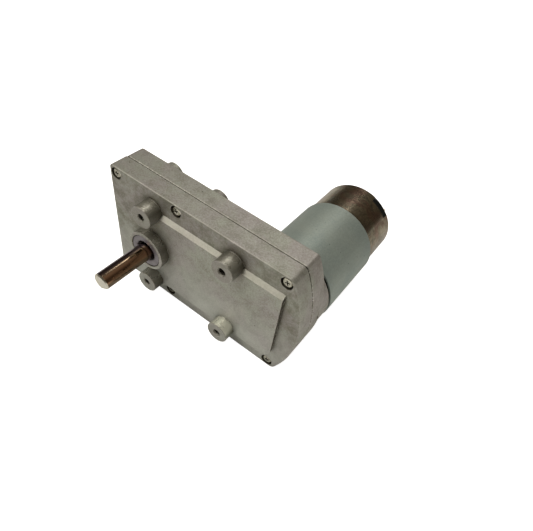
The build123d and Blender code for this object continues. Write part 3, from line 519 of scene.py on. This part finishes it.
def thread_ridge(mesh_data, hole, wall_radius, start, end):
    """A helical ridge on the wall of a tapped hole between two depths, in millimetres."""
    turns = abs(end - start) / THREAD_PITCH
    steps = int(turns * THREAD_STEPS)
    rings = []
    for step in range(steps + 1):
        angle = 2 * pi * turns * step / steps
        depth = start + (end - start) * step / steps
        from_end = min(step, steps - step) / THREAD_STEPS
        height = THREAD_HEIGHT * min(1.0, THIN_END + 2 * from_end)
        ring = []
        foot, far_foot = (-WALL_GRIP, -RIDGE_HALF_WIDTH), (-WALL_GRIP, RIDGE_HALF_WIDTH)
        for rise, along in (foot, (height, 0.0), far_foot):
            x = hole[0] + (wall_radius - rise) * cos(angle)
            z = hole[1] + (wall_radius - rise) * sin(angle)
            ring.append(Vector((x, depth + along * THREAD_PITCH, z)) * MM)
        rings.append(ring)
    sweep_closed_section(mesh_data, rings)


def tapped_threads(mount_name, run_out):
    """The threads in every hole of a bolt-pattern mount of the record, as one piece."""
    mount = next(m for m in frame["record"]["mounts"] if m["name"] == mount_name)
    dims = mount["dims"]
    x, y, z = (value / MM for value in mount["pos_m"])
    inwards = -mount["axis"][1]
    mesh_data = bmesh.new()
    for side in (-0.5, 0.5):
        for rise in (-0.5, 0.5):
            hole = (x + side * dims["spacing_x_mm"], z + rise * dims["spacing_y_mm"])
            start, end = y + inwards * THREAD_RUN_IN, y + inwards * run_out
            thread_ridge(mesh_data, hole, dims["hole_r_mm"], start, end)
    bmesh.ops.recalc_face_normals(mesh_data, faces=mesh_data.faces)
    new_piece(mount_name + "_threads", mesh_data, body_of("front_cover"), MATERIALS["thread"])


def body_of(node):
    """The body that a CAD node belongs to in the record."""
    bodies = frame["record"]["behaviour"]["bodies"]
    return next(body for body, nodes in bodies.items() if node in nodes)


tapped_threads("front_bosses", FRONT_THREAD_DEPTH)
tapped_threads("rear_bosses", REAR_THREAD_DEPTH)


# ---------------------------------------------------------------- stage, light and camera

box_low, box_high = (Vector(corner) for corner in cad_bounds)


def white_to_camera(tree, shader):
    """A plain backdrop where the camera looks straight at it, the given shader elsewhere."""
    pale = tree.nodes.new("ShaderNodeBackground")
    pale.inputs["Color"].default_value = (1, 1, 1, 1)
    pale.inputs["Strength"].default_value = 1.0
    path = tree.nodes.new("ShaderNodeLightPath")
    mix = tree.nodes.new("ShaderNodeMixShader")
    tree.links.new(path.outputs["Is Camera Ray"], mix.inputs["Fac"])
    tree.links.new(shader, mix.inputs[1])
    tree.links.new(pale.outputs[0], mix.inputs[2])
    return mix.outputs["Shader"]


def stage_floor():
    """A pale sweep that the gearbox stands on."""
    mesh = bpy.data.meshes.new("floor")
    half, drop = FLOOR_HALF_WIDTH, box_low.z
    corners = [(-half, -half, drop), (half, -half, drop), (half, half, drop), (-half, half, drop)]
    mesh.from_pydata(corners, [], [(0, 1, 2, 3)])
    floor = bpy.data.objects.new("floor", mesh)
    bpy.context.scene.collection.objects.link(floor)
    m = Recipe("floor_paper")
    tone = m.blend(m.span(m.noise(300, 2), 0.3, 0.7), (0.80, 0.80, 0.79), (0.84, 0.84, 0.83))
    paper = m.add("ShaderNodeBsdfDiffuse", {"Color": tone})
    glow = m.add("ShaderNodeEmission", {"Color": (1, 1, 1, 1), "Strength": FLOOR_GLOW})
    lit = m.add("ShaderNodeAddShader", {0: paper.outputs["BSDF"], 1: glow.outputs["Emission"]})
    path = m.add("ShaderNodeLightPath")
    mix = m.add("ShaderNodeMixShader", {0: path.outputs["Is Camera Ray"]})
    m.tree.links.new(paper.outputs["BSDF"], mix.inputs[1])
    m.tree.links.new(lit.outputs["Shader"], mix.inputs[2])
    m.add("ShaderNodeOutputMaterial", {"Surface": mix.outputs["Shader"]})
    mesh.materials.append(m.material)


def soft_light(name, way, distance, size, power, color, glossy=True):
    """A square softbox at a distance from the object's middle, turned towards it; metres, watts."""
    data = bpy.data.lights.new(name, "AREA")
    data.shape = "SQUARE"
    data.size = size
    data.energy = power
    data.color = color
    lamp = bpy.data.objects.new(name, data)
    lamp.location = middle + Vector(way).normalized() * distance
    lamp.rotation_euler = (-Vector(way)).to_track_quat("-Z", "Y").to_euler()
    lamp.visible_glossy = glossy
    lamp.visible_camera = False
    bpy.context.scene.collection.objects.link(lamp)


def room():
    """A dim brown room, lighter overhead and pale at the horizon; the backdrop itself is white."""
    world = bpy.data.worlds.new("room")
    world.use_nodes = True
    tree = world.node_tree
    tree.nodes.clear()
    coord = tree.nodes.new("ShaderNodeTexCoord")
    split = tree.nodes.new("ShaderNodeSeparateXYZ")
    tree.links.new(coord.outputs["Generated"], split.inputs["Vector"])
    ramp = tree.nodes.new("ShaderNodeValToRGB")
    stops = ramp.color_ramp.elements
    stops[0].position, stops[0].color = 0.0, (0.60, 0.60, 0.56, 1)
    stops[1].position, stops[1].color = 1.0, (0.35, 0.32, 0.27, 1)
    for place, color in ((0.10, (0.07, 0.06, 0.045, 1)), (0.6, (0.09, 0.075, 0.055, 1))):
        stop = stops.new(place)
        stop.color = color
    tree.links.new(split.outputs["Z"], ramp.inputs["Fac"])
    dim = tree.nodes.new("ShaderNodeBackground")
    dim.inputs["Strength"].default_value = 1.0
    tree.links.new(ramp.outputs["Color"], dim.inputs["Color"])
    shader = white_to_camera(tree, dim.outputs["Background"])
    out = tree.nodes.new("ShaderNodeOutputWorld")
    tree.links.new(shader, out.inputs["Surface"])
    bpy.context.scene.world = world


def camera():
    """The camera stands above and to the right of the gearbox's face and is rolled a little."""
    data = bpy.data.cameras.new("camera")
    data.sensor_width = SENSOR_WIDTH
    data.lens = LENS
    data.clip_start = 0.01
    eye = bpy.data.objects.new("camera", data)
    place = Vector(CAMERA_PLACE) * MM
    aim = Vector(CAMERA_AIM) * MM
    roll = radians(CAMERA_ROLL)
    turn = (aim - place).to_track_quat("-Z", "Y") @ Quaternion((0, 0, 1), roll)
    eye.location = place
    eye.rotation_mode = "QUATERNION"
    eye.rotation_quaternion = turn
    bpy.context.scene.collection.objects.link(eye)
    bpy.context.scene.camera = eye


middle = (box_low + box_high) / 2
stage_floor()
soft_light("key", (-0.42, -0.36, 0.82), 0.75, BOX_LIGHT_SIZE, 2.35, WARM_WHITE)
soft_light("top", (-0.20, 0.52, 0.84), 0.80, BOX_LIGHT_SIZE, 1.45, SOFT_WHITE)
soft_light("paper", (0.02, -1.0, -0.05), 0.17, CARD_LIGHT_SIZE, 0.095, PAPER_WHITE, glossy=False)
soft_light("paper_right", (0.95, -0.15, -0.05), 0.18, CARD_LIGHT_SIZE, 0.10, CREAM_WHITE, glossy=False)
room()
camera()

scene = bpy.context.scene
scene.view_settings.view_transform = "Standard"
scene.view_settings.look = "None"
